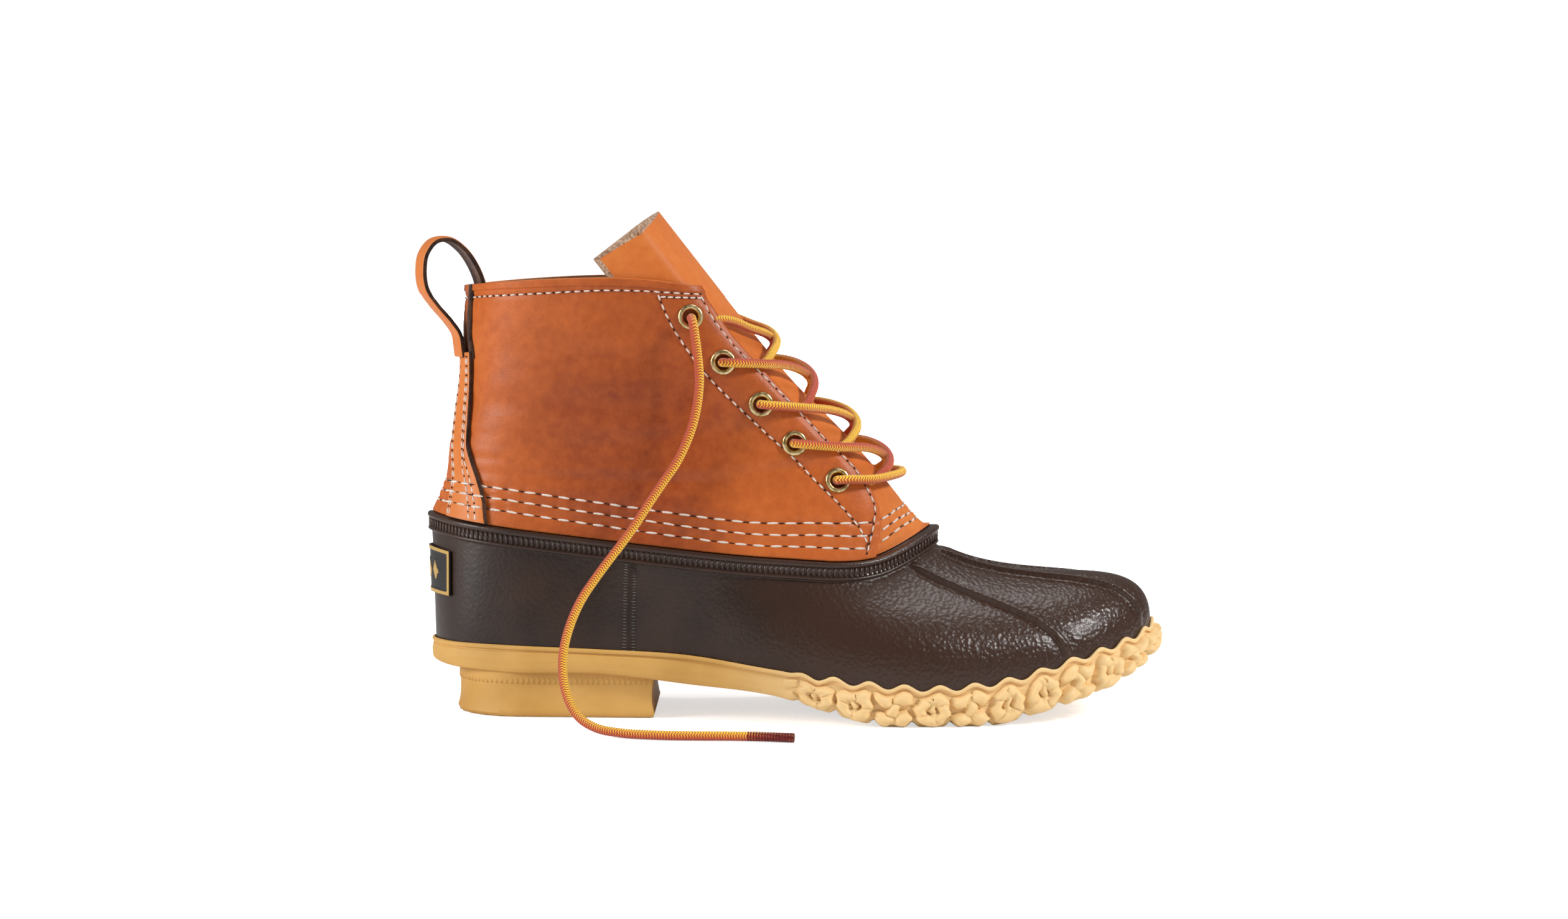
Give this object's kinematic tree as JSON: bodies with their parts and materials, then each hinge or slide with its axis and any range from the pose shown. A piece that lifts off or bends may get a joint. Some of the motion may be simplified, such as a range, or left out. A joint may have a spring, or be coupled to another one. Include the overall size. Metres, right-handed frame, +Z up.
{
  "type": "duck boot",
  "caption": "Ankle-high duck boot for the right foot: tan rubber sole, brown rubber lower with vamp ridges, laced leather shaft with a tongue and a pull loop.",
  "frame": {"origin": "middle of the heel block's flat underside, on the floor", "axes": "+X from the heel to the toe, +Y to the inner side of the foot, +Z up"},
  "size_m": [0.3028, 0.1486, 0.2],
  "materials": {
    "tan_rubber": "matt moulded crepe-like rubber",
    "brown_rubber": "pebbled semi-gloss moulded rubber",
    "insole_board": "plain felted board",
    "leather": "oiled orange-tan full grain with raw dark edges",
    "label_black": "moulded black plate with a gold frame",
    "antique_brass": "aged brass",
    "lace_braid": "round braid in two tones"
  },
  "bodies": {
    "root": {"outsole": "tan_rubber", "rubber_lower": "brown_rubber", "insole": "insole_board", "upper": "leather", "tongue": "leather", "backstay": "leather", "pull_loop": "leather", "heel_label": "label_black", "eyelet_lateral_1": "antique_brass", "eyelet_lateral_2": "antique_brass", "eyelet_lateral_3": "antique_brass", "eyelet_lateral_4": "antique_brass", "eyelet_lateral_5": "antique_brass", "eyelet_medial_1": "antique_brass", "eyelet_medial_2": "antique_brass", "eyelet_medial_3": "antique_brass", "eyelet_medial_4": "antique_brass", "eyelet_medial_5": "antique_brass", "lace_bar": "lace_braid", "lace_crossing_1": "lace_braid", "lace_crossing_2": "lace_braid", "lace_crossing_3": "lace_braid", "lace_crossing_4": "lace_braid", "lace_end": "lace_braid"}
  },
  "joints": []
}
